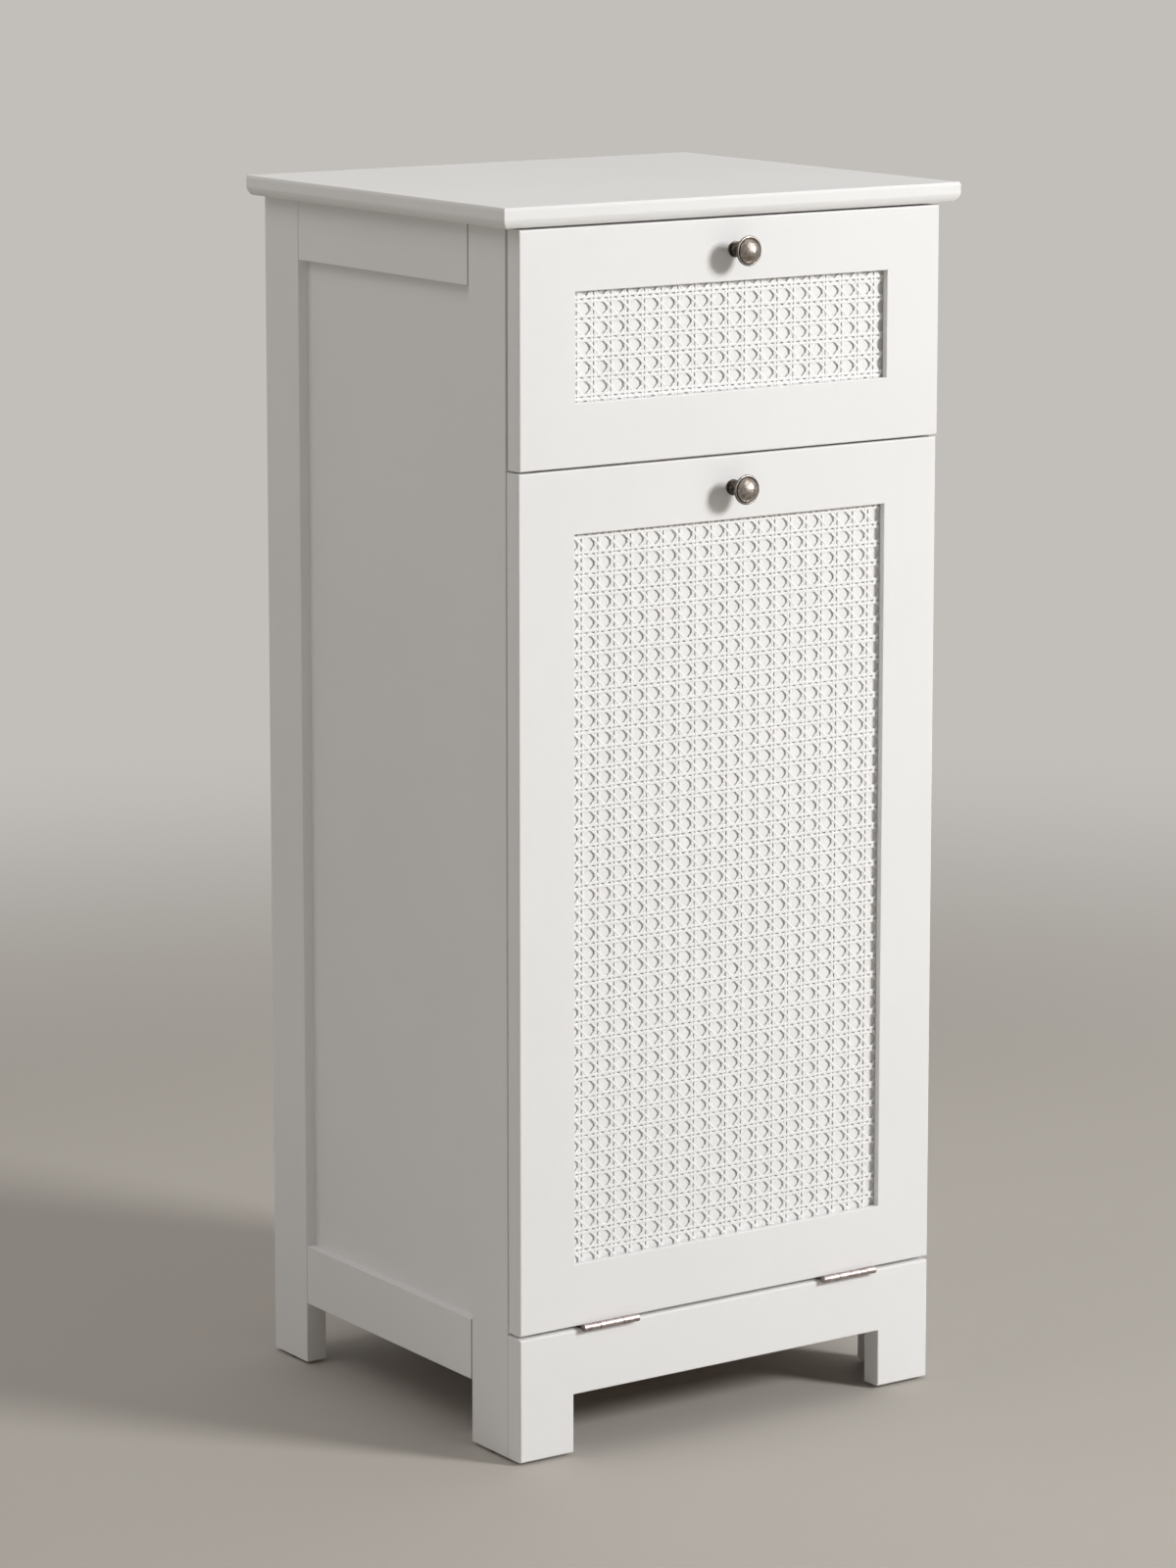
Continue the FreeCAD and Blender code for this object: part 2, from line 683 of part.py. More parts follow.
drawer_side = eased(block((-box_half, box_inside_x[0]), box_y, box_z), drawer_ease, box_top_edge)
keep_pair("drawer_side", drawer_side.cut(bottom_slot))
box_front = eased(block(box_inside_x, (box_y[0], box_inside_y[0]), box_z), drawer_ease, box_top_edge)
box_back = eased(block(box_inside_x, (box_inside_y[1], box_y[1]), box_z), drawer_ease, box_top_edge)
keep("drawer_box_front", box_front.cut([bottom_slot] + drawer_screw_bores))
keep("drawer_back", box_back.cut(bottom_slot))
keep("drawer_bottom", block(grown(box_inside_x, bottom_fit), grown(box_inside_y, bottom_fit), bottom_z))
keep("drawer_front_screws", Part.makeCompound(board_screw.at(drawer_screw_places, to_front)))
drawer_span_z = (drawer_bottom_z, drawer_top_z)
drawer_front = routed_front(drawer_face_y, drawer_span_z, drawer_opening_z, drawer_knob_foot)
keep("drawer_front", drawer_front.cut(drawer_screw_bores))
keep("drawer_cane_panel", cane_sheet(drawer_face_y, drawer_opening_z))
keep("drawer_cane_backing", cane_backing(drawer_face_y, drawer_opening_z).cut(drawer_screw_bores))

# Bag frame: the door tips until the rear bar's upper front edge meets the back of the divider rail
bar_y = (back_panel_y - bag_bar_back_clearance - bag_frame_thickness, back_panel_y - bag_bar_back_clearance)
stop_y = front_leg_y[1] + stop_gap - barrel_y
stop_z = divider_z[0] + stop_catch - barrel_z
bar_reach_y = bar_y[0] - barrel_y
bar_reach_z = math.sqrt(stop_y ** 2 + stop_z ** 2 - bar_reach_y ** 2)
bar_top_z = barrel_z + bar_reach_z
tilt_angle = math.degrees(math.atan2(bar_reach_y, bar_reach_z) - math.atan2(stop_y, stop_z))
bag_frame_x = grown(inside_x, -bag_frame_clearance)
arm_top_z = bar_top_z - bag_bar_rise
arm_z = (arm_top_z - bag_arm_height, arm_top_z)
batten_y = (door_back_y, door_back_y + bag_frame_thickness)
arm_x = (bag_frame_x[0], bag_frame_x[0] + bag_frame_thickness)
arm_y = (batten_y[1], bar_y[0])
bar_z = (arm_z[0], bar_top_z)
frame_screw_x = -bag_frame_x[0] - bag_frame_screw_inset
frame_screw_xs = (-frame_screw_x, frame_screw_x)
frame_screw_z = sum(arm_z) / 2
door_fix_z = grown(arm_z, -batten_screw_inset)
door_fixing_places = []
bar_fixing_places = []
for screw_x in frame_screw_xs:
    for screw_z in door_fix_z:
        door_fixing_places.append(Vector(screw_x, batten_y[0] + screw_grip, screw_z))
    bar_fixing_places.append(Vector(screw_x, bar_y[0] + screw_grip, frame_screw_z))


def pockets(places, mouth_y):
    return [rod(counterbore_radius, Vector(place.x, mouth_y, place.z), place) for place in places]


frame_screw_places = door_fixing_places + bar_fixing_places
frame_screw_bores = board_screw.bores(frame_screw_places, to_front)
batten_pockets = pockets(door_fixing_places, batten_y[1] + cut_overrun)
bar_pockets = pockets(bar_fixing_places, bar_y[1] + cut_overrun)


def frame_bar(x_span, y_span, z_span, eased_back_only):
    """A bar with rounded long edges, on its back face alone where its front lies against wood."""
    bar = block(x_span, y_span, z_span)
    longest = max(edge.Length for edge in bar.Edges)

    def chosen(edge):
        at_back = lies_at(edge.CenterOfMass.y, y_span[1])
        return lies_at(edge.Length, longest) and (at_back or not eased_back_only)

    return eased(bar, bag_frame_ease, chosen)


batten = frame_bar(bag_frame_x, batten_y, arm_z, True)
keep("bag_batten", batten.cut(batten_pockets + frame_screw_bores))
left_arm = frame_bar(arm_x, arm_y, arm_z, False)
keep_pair("bag_arm", left_arm.cut(frame_screw_bores))
rear_bar = frame_bar(bag_frame_x, bar_y, bar_z, True)
keep("bag_rear_bar", rear_bar.cut(bar_pockets + frame_screw_bores))
keep("bag_frame_screws", Part.makeCompound(board_screw.at(frame_screw_places, to_front)))

# Bag: an open shell inside the frame, a little narrower at its foot
bag_z = (floor_z[1] + bag_floor_clearance, arm_top_z - bag_rim_drop)
bag_x = grown(bag_frame_x, -bag_frame_thickness - bag_clearance)
bag_y = grown(arm_y, -bag_clearance)


def bag_ring(inset, z):
    x_span = grown(bag_x, -inset)
    y_span = grown(bag_y, -inset)
    corners = [Vector(x_span[0], y_span[0], z), Vector(x_span[1], y_span[0], z)]
    corners += [Vector(x_span[1], y_span[1], z), Vector(x_span[0], y_span[1], z)]
    return Part.makePolygon(corners + corners[:1])


bag_outside = Part.makeLoft([bag_ring(bag_taper, bag_z[0]), bag_ring(0, bag_z[1])], True, True)
bag_inside = Part.makeLoft(
    [bag_ring(bag_taper + bag_wall, bag_z[0] + bag_wall), bag_ring(bag_wall, bag_z[1] + bag_wall)],
    True,
    True,
)
keep("laundry_bag", bag_outside.cut(bag_inside))

# Door with its cane, bored for its hinge screws and the bag frame's screws
door_span_z = (door_bottom_z, door_top_z)
door_frame = routed_front(door_face_y, door_span_z, door_opening_z, door_knob_foot)
door_frame_bores = leaf_screw.bores(door_screw_places, up) + frame_screw_bores
keep("door_frame", door_frame.cut(door_frame_bores))
keep("door_cane_panel", cane_sheet(door_face_y, door_opening_z))
keep("door_cane_backing", cane_backing(door_face_y, door_opening_z))

# Catch under the divider rail, its strike on the door and the bumpers on the legs
catch_offset = inner_x - catch_side_distance
strike_y = (door_back_y, door_back_y + strike_thickness)
catch_y = (strike_y[1] + catch_gap, strike_y[1] + catch_gap + catch_depth)
catch_z = (divider_z[0] - catch_height, divider_z[0])
catch_body = block(around(catch_offset, catch_width), catch_y, catch_z)


def catch_corner(edge):
    centre = edge.CenterOfMass
    upright = abs(edge.Length - catch_height) < catch_ease
    return upright and lies_at(abs(centre.x - catch_offset), catch_width / 2)


keep("magnetic_catch", eased(catch_body, catch_ease, catch_corner))
strike_z = around(sum(catch_z) / 2, strike_height)
keep("strike_plate", block(around(catch_offset, strike_width), strike_y, strike_z))
bumper_z = door_top_z - bumper_drop
bumpers = []
for bumper_x in (-leg_centre_x, leg_centre_x):
    bumper_back = Vector(bumper_x, carcass_front_y, bumper_z)
    bumpers.append(rod(bumper_radius, bumper_back, bumper_back + to_front * door_stand_off))
keep("door_bumpers", Part.makeCompound(bumpers))

os.makedirs("parts", exist_ok=True)
for node, shape in pieces.items():
    shape.exportStep("parts/" + node + ".step")
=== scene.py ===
import math
import random

import bpy
import numpy as np
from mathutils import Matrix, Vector


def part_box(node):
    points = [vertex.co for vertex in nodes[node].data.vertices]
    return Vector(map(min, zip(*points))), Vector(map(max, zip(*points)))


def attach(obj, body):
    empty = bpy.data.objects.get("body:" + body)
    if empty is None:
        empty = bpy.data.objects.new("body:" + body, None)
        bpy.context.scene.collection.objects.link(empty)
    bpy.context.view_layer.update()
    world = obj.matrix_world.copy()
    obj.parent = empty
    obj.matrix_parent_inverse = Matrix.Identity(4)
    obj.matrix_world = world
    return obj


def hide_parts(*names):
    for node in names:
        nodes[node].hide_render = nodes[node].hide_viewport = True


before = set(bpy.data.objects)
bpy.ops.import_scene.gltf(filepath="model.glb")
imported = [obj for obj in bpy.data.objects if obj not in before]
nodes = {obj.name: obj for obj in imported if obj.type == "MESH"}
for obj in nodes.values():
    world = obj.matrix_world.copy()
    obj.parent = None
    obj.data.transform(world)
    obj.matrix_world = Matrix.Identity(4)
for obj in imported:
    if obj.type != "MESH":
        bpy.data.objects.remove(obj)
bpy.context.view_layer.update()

# Carcass boards: legs, rails, plinth and top are MDF, dowelled and glued, the top screwed on from below.
# They are sprayed with a satin white lacquer, which dries with a faint orange peel,
# a slight cloudiness and a sheen that changes a little from pass to pass.
lacquer_shadow_tone = (0.845, 0.844, 0.84, 1)
lacquer_tone = (0.885, 0.885, 0.882, 1)
lacquer_cloud_scale = 6
lacquer_peel_scale = 620
lacquer_peel_depth = 0.00004
lacquer_sheen_scale = 38
lacquer_roughness = 0.52
lacquer_roughness_spread = 0.12
lacquer_gloss_level = 0.25
board_ease = 0.0007
board_ease_angle = math.radians(50)
# The joint values paint a shadow hairline where the side rails and the plinth meet the front legs.
joint_shade_tone = (0.3, 0.28, 0.26, 1)
joint_shade_edge_share = 0.002
side_rail_joint_shade_shares = (0, 0.0095)
plinth_joint_shade_shares = (0.975, 0.992)


def set_inputs(tree, made, inputs):
    """Sets or links the named sockets of a node."""
    for name, value in inputs.items():
        if isinstance(value, Wire):
            tree.links.new(value.socket, made.inputs[name])
        else:
            made.inputs[name].default_value = value


class Wire:
    """A socket in a material's nodes. Arithmetic on it adds Math nodes."""

    def __init__(self, tree, socket=None):
        self.tree = tree
        self.socket = socket

    def node(self, kind, settings, inputs, output=0):
        """Adds a node with those settings and sockets, and gives the wire from one of its outputs."""
        made = self.tree.nodes.new(kind)
        for name, value in settings.items():
            setattr(made, name, value)
        set_inputs(self.tree, made, inputs)
        return Wire(self.tree, made.outputs[output])

    def maths(self, operation, other=0.0):
        return self.node("ShaderNodeMath", {"operation": operation}, {0: self, 1: other})

    def __add__(self, other):
        return self.maths("ADD", other)

    __radd__ = __add__

    def __sub__(self, other):
        return self.maths("SUBTRACT", other)

    def __rsub__(self, other):
        return self.node("ShaderNodeMath", {"operation": "SUBTRACT"}, {0: other, 1: self})

    def __mul__(self, other):
        return self.maths("MULTIPLY", other)

    __rmul__ = __mul__

    def vector(self, operation, other=(0, 0, 0), output=0):
        return self.node("ShaderNodeVectorMath", {"operation": operation}, {0: self, 1: other}, output)

    def part(self, axis):
        """One of the X, Y and Z of a vector."""
        return self.node("ShaderNodeSeparateXYZ", {}, {0: self}, axis)

    def between(self, low, high):
        """Goes from low to high as this goes from 0 to 1."""
        return low + (high - low) * self

    def ramp(self, low, high):
        """0 below low, 1 above high, smooth between."""
        limits = {"Value": self, "From Min": low, "From Max": high}
        return self.node("ShaderNodeMapRange", {"interpolation_type": "SMOOTHSTEP"}, limits)

    def tint(self, colour_at_0, colour_at_1):
        """Mixes two colours by this value of 0 to 1."""
        colours = {0: self, 6: colour_at_0, 7: colour_at_1}
        return self.node("ShaderNodeMix", {"data_type": "RGBA"}, colours, 2)

    def noise(self, scale=1, detail=2):
        return self.node("ShaderNodeTexNoise", {}, {"Vector": self, "Scale": scale, "Detail": detail})

    def stretched(self, scales, turn=(0, 0, 0)):
        return self.node("ShaderNodeMapping", {}, {"Vector": self, "Scale": scales, "Rotation": turn})

    def relief(self, depth):
        """A bump of that depth in metres from this height of 0 to 1."""
        return self.node("ShaderNodeBump", {}, {"Height": self, "Distance": depth})


def new_finish(name):
    """A material and the wire that carries each point's place in the cabinet, in metres."""
    material = bpy.data.materials.new(name)
    material.use_nodes = True
    return material, Wire(material.node_tree).node("ShaderNodeTexCoord", {}, {}, "Object")


def shares(place):
    """The wire that carries each point's place as shares of the piece's own size."""
    return place.node("ShaderNodeTexCoord", {}, {}, "Generated")


def coat(material, inputs):
    """Sets or links the sockets of a material's shader."""
    tree = material.node_tree
    set_inputs(tree, tree.nodes["Principled BSDF"], inputs)


def lacquer(name, tone, roughness, overlay=None):
    """Sprayed lacquer. An overlay makes the final colour from the wire of shares and the sprayed colour."""
    material, place = new_finish(name)
    colour = place.noise(lacquer_cloud_scale).tint(lacquer_shadow_tone, tone)
    if overlay:
        colour = overlay(shares(place), colour)
    sheen = place.noise(lacquer_sheen_scale, detail=3)
    coat(material, {
        "Base Color": colour,
        "Roughness": sheen.between(roughness, roughness + lacquer_roughness_spread),
        "Specular IOR Level": lacquer_gloss_level,
        "Normal": place.noise(lacquer_peel_scale, detail=1).relief(lacquer_peel_depth),
    })
    return material


def painted_joint_shadow(edges):
    """A painted shadow hairline between two shares of a piece's depth, where it meets a front leg."""
    def overlay(share, colour):
        depth = share.part("Y")
        begun, ended = (depth.ramp(edge - joint_shade_edge_share, edge) for edge in edges)
        return (begun - ended).tint(colour, joint_shade_tone)
    return overlay


def dress(material, *names):
    for name in names:
        piece = nodes[name]
        piece.data.materials.clear()
        piece.data.materials.append(material)


def soften(*names):
    """Rounds the sharp edges of boards a little, as sanding and paint do, so that joints show as lines."""
    for name in names:
        ease = nodes[name].modifiers.new("ease", "BEVEL")
        ease.width = board_ease
        ease.segments = 2
        ease.limit_method = "ANGLE"
        ease.angle_limit = board_ease_angle


white_lacquer = lacquer("white_lacquer", lacquer_tone, lacquer_roughness)
# The side rails and the plinth carry a painted shadow line at their joints with the front legs.
rail_lacquer_joint_shade = lacquer("rail_lacquer_joint_shade", lacquer_tone, lacquer_roughness, painted_joint_shadow(side_rail_joint_shade_shares))
plinth_lacquer_joint_shade = lacquer("plinth_lacquer_joint_shade", lacquer_tone, lacquer_roughness, painted_joint_shadow(plinth_joint_shade_shares))
dress(plinth_lacquer_joint_shade, "front_plinth")
soften("front_plinth")
dress(white_lacquer, "top_board", "front_top_rail", "divider_rail", "rear_top_rail", "rear_bottom_rail")
for side in ("left", "right"):
    dress(white_lacquer, side + "_front_leg", side + "_rear_leg", side + "_side_panel")
    dress(rail_lacquer_joint_shade, side + "_side_top_rail", side + "_side_bottom_rail")
    soften(side + "_side_top_rail", side + "_side_bottom_rail", side + "_front_leg", side + "_rear_leg")

# Floor panel: an MDF board let into the rails at the bottom of the cabinet.
# It is sprayed on its upper face, with some overspray on its edges, and left raw underneath, in a brown dark
# enough to stand also as painted shade under the cabinet.
raw_board_and_shade_tone = (0.3, 0.21, 0.135, 1)
raw_board_fibre_and_shade_tone = (0.24, 0.16, 0.1, 1)
raw_board_fibre_scale = 300
overspray_shares = (0.7, 0.8)


# The underside is partly raw board and partly painted shade: its dark brown deepens the shade under the
# cabinet.
def raw_and_shaded_underside(share, colour):
    fibre = share.noise(raw_board_fibre_scale, detail=4).tint(raw_board_and_shade_tone, raw_board_fibre_and_shade_tone)
    return share.part("Z").ramp(*overspray_shares).tint(fibre, colour)


dress(lacquer("floor_lacquer", lacquer_tone, lacquer_roughness, raw_and_shaded_underside), "floor_panel")

# Back and drawer bottom: thin hardboard with a printed white face.
# The back is nailed into rebates in the rear legs, the drawer bottom slides into grooves.
hardboard_tone = (0.84, 0.838, 0.826, 1)
hardboard_speck_tone = (0.79, 0.785, 0.77, 1)
hardboard_speck_scale = 420
hardboard_speck_limits = (0.35, 0.6)
hardboard_roughness_range = (0.46, 0.56)
hardboard_grain_depth = 0.00005

hardboard, place = new_finish("white_hardboard")
speck = place.noise(hardboard_speck_scale, detail=3)
coat(hardboard, {
    "Base Color": speck.ramp(*hardboard_speck_limits).tint(hardboard_speck_tone, hardboard_tone),
    "Roughness": place.noise(lacquer_sheen_scale).between(*hardboard_roughness_range),
    "Normal": speck.relief(hardboard_grain_depth),
})
dress(hardboard, "back_panel", "drawer_bottom")

# Foot glides: dark moulded plastic discs with a nail, hammered into the foot of each leg.
# Their faces are dull and a little scuffed.
glide_tone = (0.035, 0.033, 0.032, 1)
glide_scuff_tone = (0.11, 0.105, 0.1, 1)
glide_scuff_scale = 900
glide_scuff_limits = (0.5, 0.8)
glide_roughness_range = (0.42, 0.67)
glide_scuff_depth = 0.00003

glide_plastic, place = new_finish("glide_plastic")
scuff = place.noise(glide_scuff_scale, detail=4)
coat(glide_plastic, {
    "Base Color": scuff.ramp(*glide_scuff_limits).tint(glide_tone, glide_scuff_tone),
    "Roughness": scuff.between(*glide_roughness_range),
    "Normal": scuff.relief(glide_scuff_depth),
})
dress(glide_plastic, "foot_glides")

# Roller slides: folded sheet steel with a white epoxy coat, screwed to the legs and under the drawer sides.
# The rollers are moulded nylon on riveted studs. The coat is rubbed along the way the drawer runs.
epoxy_tone = (0.83, 0.83, 0.81, 1)
epoxy_rub_tone = (0.74, 0.74, 0.73, 1)
epoxy_rub_scales = (220, 14, 220)
epoxy_rub_limits = (0.45, 0.75)
epoxy_roughness_range = (0.3, 0.45)
epoxy_peel_scale = 800
epoxy_peel_depth = 0.00003
nylon_tone = (0.86, 0.855, 0.82, 1)
nylon_worn_tone = (0.72, 0.71, 0.68, 1)
nylon_wear_scale = 260
nylon_wear_limits = (0.4, 0.8)
nylon_roughness_range = (0.38, 0.58)
nylon_wear_depth = 0.00002

epoxy_steel, place = new_finish("white_epoxy_steel")
rub = place.stretched(epoxy_rub_scales).noise(detail=3)
coat(epoxy_steel, {
    "Base Color": rub.ramp(*epoxy_rub_limits).tint(epoxy_tone, epoxy_rub_tone),
    "Roughness": rub.between(*epoxy_roughness_range),
    "Normal": place.noise(epoxy_peel_scale).relief(epoxy_peel_depth),
})
nylon, place = new_finish("nylon")
wear = place.noise(nylon_wear_scale, detail=3)
coat(nylon, {
    "Base Color": wear.ramp(*nylon_wear_limits).tint(nylon_tone, nylon_worn_tone),
    "Roughness": wear.between(*nylon_roughness_range),
    "Normal": wear.relief(nylon_wear_depth),
})
for side in ("left", "right"):
    dress(epoxy_steel, side + "_cabinet_rail", side + "_drawer_rail")
    dress(nylon, side + "_front_roller", side + "_rear_roller")

# Drawer box: white-lacquered boards, glued and pinned, with the drawer front screwed on from inside.
# The backings behind both cane panels have the same lacquer in a whiter grade.
backing_tone = (0.95, 0.95, 0.945, 1)
backing_roughness = 0.5

dress(white_lacquer, "drawer_box_front", "left_drawer_side", "right_drawer_side", "drawer_back")
backing_lacquer = lacquer("backing_lacquer", backing_tone, backing_roughness)
dress(backing_lacquer, "drawer_cane_backing", "door_cane_backing")

# Drawer and door fronts: one board each, routed to a frame with eased edges and a rebate for the cane.
# They get an extra coat and a finer sheen than the carcass.
front_tone = (0.892, 0.892, 0.892, 1)
front_roughness = 0.3

dress(lacquer("front_lacquer", front_tone, front_roughness), "drawer_front", "door_frame")

# Cane panels: rattan webbing woven in the usual six ways and painted white, pressed into the rebates.
# Upright and level strands run in pairs that weave through each other. One set of diagonals goes over
# the uprights and under the level pairs, the other set the other way round, which leaves eight-sided holes.
strand_width = 0.0025
diagonal_width = 0.0022
strand_thickness = 0.00042
pair_spacing = 0.0034
pair_wave = 0.00012
diagonal_wave = 0.00014
diagonal_wave_sharpness = 1.6
weave_set_back = 0.0005
strand_jitter = 0.00012
strand_width_jitter_share = 0.05
strand_section_shares = ((-1, -0.5), (1, -0.5), (1, 0.05), (0.55, 0.5), (-0.55, 0.5), (-1, 0.05))
diagonal_steps_per_hole = 8
door_hole_pitch = (0.0153, 0.01528)
door_column_shift = -0.0012
door_first_row_drop = 0.0174
drawer_hole_pitch = (0.01575, 0.015)
drawer_column_shift = -0.0026
drawer_row_shift = -0.0017
cane_tone = (0.92, 0.92, 0.915, 1)
cane_groove_tone = (0.88, 0.877, 0.865, 1)
cane_fibre_across = 2600
cane_fibre_along = 90
cane_fibre_depth = 0.00005
cane_fibre_share = 0.6
cane_patch_scale = 55
cane_tone_limits = (0.3, 0.55)
cane_roughness_range = (0.42, 0.57)


def cane_paint(name, turn):
    """White paint over the fibres of strands that run up the panel, turned about its face."""
    material, place = new_finish(name)
    turned = place.stretched((1, 1, 1), (0, turn, 0))
    fibres = turned.stretched((cane_fibre_across, 1, cane_fibre_along)).noise()
    patch = place.noise(cane_patch_scale)
    covered = cane_fibre_share * fibres + (1 - cane_fibre_share) * patch
    coat(material, {
        "Base Color": covered.ramp(*cane_tone_limits).tint(cane_groove_tone, cane_tone),
        "Roughness": fibres.between(*cane_roughness_range),
        "Normal": fibres.relief(cane_fibre_depth),
    })
    return material


def new_piece(name, points, faces):
    mesh = bpy.data.meshes.new(name)
    mesh.from_pydata(points, [], faces)
    piece = bpy.data.objects.new(name, mesh)
    bpy.context.scene.collection.objects.link(piece)
    return piece


def smooth(piece):
    piece.data.polygons.foreach_set("use_smooth", [True] * len(piece.data.polygons))


def strip_piece(name, strips):
    """A piece of flat closed strips, each given as its line, the direction of its width and the width."""
    points = []
    faces = []
    section = np.array(strand_section_shares)
    sides = len(section)
    outward = np.array((0, -1, 0))
    for line, across, width in strips:
        start = len(points)
        across_part = section[:, 0, None] * across * width / 2
        outward_part = section[:, 1, None] * outward * strand_thickness
        rings = line[:, None, :] + (across_part + outward_part)[None]
        points.extend(rings.reshape(-1, 3))
        for ring in range(len(line) - 1):
            first = start + ring * sides
            for corner in range(sides):
                following = (corner + 1) % sides
                faces.append((first + corner, first + following,
                              first + sides + following, first + sides + corner))
        last = start + (len(line) - 1) * sides
        faces.append(tuple(range(start + sides - 1, start - 1, -1)))
        faces.append(tuple(range(last, last + sides)))
    piece = new_piece(name, points, faces)
    smooth(piece)
    return piece


def pair_lines(low, high, origin, pitch):
    """The places of the weave's pairs between low and high."""
    first = math.ceil((low - origin) / pitch)
    last = math.floor((high - origin) / pitch)
    return [origin + number * pitch for number in range(first, last + 1)]


def pair_steps(low, high, origin, pitch):
    """Places along a strand: its ends, its crossings with each pair and the middle of each hole."""
    offsets = (-pitch / 2, -pair_spacing, -pair_spacing / 2, 0, pair_spacing / 2, pair_spacing)
    steps = [line + offset for line in pair_lines(low, high, origin, pitch) for offset in offsets]
    return np.array([low] + [step for step in steps if low < step < high] + [high])


def pair_height(steps, origin, pitch, sign):
    """How far a strand of a pair stands out of the panel as it goes over one strand and under the next."""
    offset = (steps - origin + pitch / 2) % pitch - pitch / 2
    wave = np.where(abs(offset) < pair_spacing, np.sin(math.pi * offset / pair_spacing), 0)
    return -sign * pair_wave * wave


def cane(panel, body, hole_pitch, hole_centre, seed):
    """The woven strands of one panel. A hole of the weave lies at hole_centre, in the panel's plane."""
    chance = random.Random(seed)
    low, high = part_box(panel)
    pitch_x, pitch_z = hole_pitch
    middle_y = low.y + weave_set_back + diagonal_wave + strand_thickness / 2
    origin_x = hole_centre[0] - pitch_x / 2
    origin_z = hole_centre[1] - pitch_z / 2

    def uneven_place(line):
        return line + chance.uniform(-strand_jitter, strand_jitter)

    def uneven_width(width):
        return width * (1 + chance.uniform(-strand_width_jitter_share, strand_width_jitter_share))

    woven = {"uprights": [], "levels": [], "diagonals": []}
    along_z = pair_steps(low.z, high.z, origin_z, pitch_z)
    along_x = pair_steps(low.x, high.x, origin_x, pitch_x)
    for sign in (-1, 1):
        upright_y = middle_y + pair_height(along_z, origin_z, pitch_z, sign)
        for line in pair_lines(low.x, high.x, origin_x, pitch_x):
            x = np.full(len(along_z), uneven_place(line + sign * pair_spacing / 2))
            upright = np.stack([x, upright_y, along_z], 1)
            woven["uprights"].append((upright, np.array((1, 0, 0)), uneven_width(strand_width)))
        level_y = middle_y + pair_height(along_x, origin_x, pitch_x, -sign)
        for line in pair_lines(low.z, high.z, origin_z, pitch_z):
            z = np.full(len(along_x), uneven_place(line + sign * pair_spacing / 2))
            level = np.stack([along_x, level_y, z], 1)
            woven["levels"].append((level, np.array((0, 0, -1)), uneven_width(strand_width)))

    column_span = [(edge - origin_x) / pitch_x for edge in (low.x, high.x)]
    row_span = [(edge - origin_z) / pitch_z for edge in (low.z, high.z)]
    for slope in (-1, 1):
        sums = [row - slope * column for row in row_span for column in column_span]
        across = np.array((-slope * pitch_z, 0, pitch_x))
        across = across / np.linalg.norm(across)
        for number in range(math.floor(min(sums)), math.ceil(max(sums))):
            offset = number + 0.5
            ends = sorted((row - offset) * slope for row in row_span)
            start = max(column_span[0], ends[0])
            end = min(column_span[1], ends[1])
            if end - start < 1 / diagonal_steps_per_hole:
                continue
            first = math.floor(start * diagonal_steps_per_hole) + 1
            last = math.ceil(end * diagonal_steps_per_hole)
            steps = [step / diagonal_steps_per_hole for step in range(first, last)]
            columns = np.array([start] + steps + [end])
            rows = slope * columns + offset
            wave = np.clip(diagonal_wave_sharpness * np.cos(2 * math.pi * columns), -1, 1)
            x = origin_x + columns * pitch_x
            y = middle_y + slope * diagonal_wave * wave
            z = uneven_place(origin_z) + rows * pitch_z
            diagonal = np.stack([x, y, z], 1)
            woven["diagonals"].append((diagonal, across * -slope, uneven_width(diagonal_width)))

    for name, strips in woven.items():
        piece = strip_piece(panel.replace("panel", name), strips)
        piece.data.materials.append(cane_paints[name])
        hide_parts(panel)
        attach(piece, body)


cane_paints = {
    "uprights": cane_paint("cane_upright", 0),
    "levels": cane_paint("cane_level", math.radians(90)),
    "diagonals": cane_paint("cane_diagonal", math.radians(45)),
}
door_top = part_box("door_cane_panel")[1].z
drawer_low, drawer_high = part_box("drawer_cane_panel")
drawer_middle = (drawer_low.z + drawer_high.z) / 2
door_first_hole = (door_hole_pitch[0] / 2 + door_column_shift, door_top - door_first_row_drop)
drawer_middle_hole = (drawer_hole_pitch[0] / 2 + drawer_column_shift, drawer_middle + drawer_row_shift)
cane("door_cane_panel", "door", door_hole_pitch, door_first_hole, seed=3)
cane("drawer_cane_panel", "drawer", drawer_hole_pitch, drawer_middle_hole, seed=5)

# Knobs: cast zinc alloy, turned and plated in antique nickel, each held by a screw from behind.
# A stepped foot carries a waisted neck, a rim with a rubbed bright line and a domed face.
# The brown wash stays in the groove inside the rim, round the neck and thinly over the face; the dark on the
# rim's edge is painted shade.
nickel_bright = (0.8, 0.76, 0.72, 1)
nickel_face = (0.37, 0.338, 0.31, 1)
nickel_patina = (0.23, 0.192, 0.158, 1)
nickel_wash_and_shade = (0.05, 0.037, 0.028, 1)
groove_radius_share = 0.825
groove_half_width_shares = (0.016, 0.04)
rim_shares = (0.85, 0.865)
rim_edge_shade_shares = (0.91, 0.935)
rim_back_wash_and_shade_shares = (0.234, 0.242)
nickel_cloud_scale = 420
nickel_patina_limits = (0.4, 0.62)
nickel_worn_limits = (0.35, 0.6)
nickel_worn_range = (0.8, 1)
nickel_wash_and_shade_strength = 0.92
nickel_roughness_range = (0.26, 0.42)
nickel_grain_scale = 900
nickel_grain_depth = 0.00008

